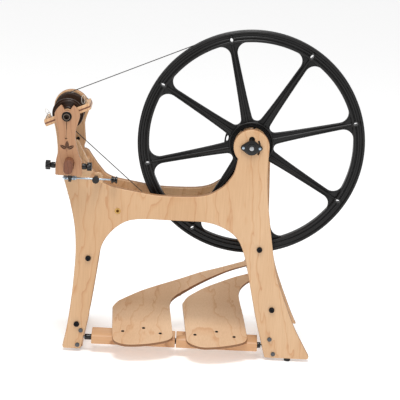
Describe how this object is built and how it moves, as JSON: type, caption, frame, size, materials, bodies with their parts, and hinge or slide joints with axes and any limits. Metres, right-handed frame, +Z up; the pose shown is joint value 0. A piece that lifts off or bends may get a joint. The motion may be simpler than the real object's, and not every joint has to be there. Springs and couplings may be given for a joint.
{
  "type": "spinning wheel",
  "caption": "Double-treadle spinning wheel with plywood side panels, a moulded spoked drive wheel, a sliding flyer head and bent plywood treadles.",
  "frame": {"origin": "on the floor, under the middle of the bounding box", "axes": "+X to the spinner's right along the panels, +Y away from the spinner, +Z up"},
  "size_m": [0.8544, 0.45, 0.902],
  "materials": {
    "maple": "clear satin varnish on maple plywood",
    "shaded_maple": "clear satin varnish on maple",
    "walnut": "oiled walnut",
    "black_steel": "black oxide",
    "zinc": "zinc plated",
    "rubber": "matt",
    "brass": "turned",
    "black_plastic": "moulded satin",
    "wheel_plastic": "moulded satin",
    "band": "polyurethane cord",
    "steel": "bright drawn",
    "dark_plastic": "turned satin"
  },
  "bodies": {
    "frame": {"front_panel": "maple", "rear_panel": "shaded_maple", "foot_boards": "maple", "spacer_dowels": "maple", "panel_screws": "black_steel", "foot_bolts": "zinc", "rubber_feet": "rubber", "accessory_insert": "brass", "axle_bearing_front": "black_plastic", "axle_bearing_rear": "black_plastic", "bearing_screws": "zinc", "treadle_pivot_rod": "steel", "pivot_bushes": "black_plastic", "trunnion_block": "maple", "tension_trunnion": "black_plastic", "slide_rails": "maple", "drive_band": "band"},
    "drive_wheel": {"wheel_rim": "wheel_plastic", "wheel_spokes": "wheel_plastic", "wheel_hub": "wheel_plastic", "axle": "steel", "crank_webs": "steel", "crank_pins": "steel"},
    "footman_left": {"footman_strap_left": "maple", "footman_rod_left": "steel"},
    "footman_right": {"footman_strap_right": "maple", "footman_rod_right": "steel"},
    "treadle_left": {"treadle_bar_left": "maple", "treadle_plate_left": "maple", "treadle_screws_left": "black_steel", "treadle_stud_left": "steel"},
    "treadle_right": {"treadle_bar_right": "maple", "treadle_plate_right": "maple", "treadle_screws_right": "black_steel", "treadle_stud_right": "steel"},
    "head": {"head_block": "maple", "rear_maiden": "shaded_maple", "maiden_bar": "walnut", "flyer_bearing": "black_plastic", "maiden_screws": "black_steel", "tension_post": "black_plastic"},
    "front_maiden": {"front_maiden": "maple", "orifice_bearing": "black_plastic"},
    "lock_knob_left": {"lock_knob_left": "black_plastic"},
    "lock_knob_right": {"lock_knob_right": "black_plastic"},
    "tension_screw": {"tension_rod": "zinc", "rod_collars": "zinc", "tension_knob": "black_plastic"},
    "flyer": {"flyer_yoke": "maple", "flyer_hooks": "steel", "orifice_tube": "steel", "flyer_shaft": "steel", "whorl": "dark_plastic"},
    "bobbin": {"bobbin": "dark_plastic"}
  },
  "joints": [
    {"name": "wheel_spin", "type": "hinge", "parent": "frame", "child": "drive_wheel", "pos_m": [0.1222, -0.067, 0.597], "axis": [0, 1, 0], "continuous": true},
    {"name": "footman_left_swing", "type": "hinge", "parent": "drive_wheel", "child": "footman_left", "pos_m": [0.0732, 0.057, 0.597], "axis": [0, 1, 0], "continuous": true},
    {"name": "footman_right_swing", "type": "hinge", "parent": "drive_wheel", "child": "footman_right", "pos_m": [0.1712, 0.029, 0.597], "axis": [0, 1, 0], "continuous": true},
    {"name": "treadle_left_rock", "type": "hinge", "parent": "frame", "child": "treadle_left", "pos_m": [-0.1678, -0.116, 0.041], "axis": [1, 0, 0], "range_deg": [-9, 9]},
    {"name": "treadle_right_rock", "type": "hinge", "parent": "frame", "child": "treadle_right", "pos_m": [0.0572, -0.116, 0.041], "axis": [1, 0, 0], "range_deg": [-9, 9]},
    {"name": "head_slide", "type": "slide", "parent": "frame", "child": "head", "axis": [-1, 0, 0], "range_m": [-0.012, 0.012], "deforming": ["drive_band"]},
    {"name": "tension_turn", "type": "hinge", "parent": "head", "child": "tension_screw", "pos_m": [-0.2868, -0.143, 0.495], "axis": [1, 0, 0], "range_deg": [-730, 730]},
    {"name": "maiden_slide", "type": "slide", "parent": "head", "child": "front_maiden", "axis": [0, -1, 0], "range_m": [0, 0.018]},
    {"name": "lock_knob_left_turn", "type": "hinge", "parent": "front_maiden", "child": "lock_knob_left", "pos_m": [-0.3918, -0.18, 0.537], "axis": [1, 0, 0], "range_deg": [0, 180]},
    {"name": "lock_knob_right_turn", "type": "hinge", "parent": "front_maiden", "child": "lock_knob_right", "pos_m": [-0.3228, -0.18, 0.537], "axis": [1, 0, 0], "range_deg": [-180, 0]},
    {"name": "flyer_spin", "type": "hinge", "parent": "head", "child": "flyer", "pos_m": [-0.3658, -0.067, 0.67], "axis": [0, 1, 0], "continuous": true},
    {"name": "bobbin_spin", "type": "hinge", "parent": "flyer", "child": "bobbin", "pos_m": [-0.3658, -0.118, 0.67], "axis": [0, 1, 0], "continuous": true}
  ],
  "couplings": [
    {"joint": "flyer_spin", "follows": "wheel_spin", "ratio": 7.8312},
    {"joint": "footman_left_swing", "follows": "wheel_spin", "ratio": -1},
    {"joint": "footman_right_swing", "follows": "wheel_spin", "ratio": -1},
    {"joint": "tension_turn", "follows": "head_slide", "rad_per_m": 1047.2}
  ]
}
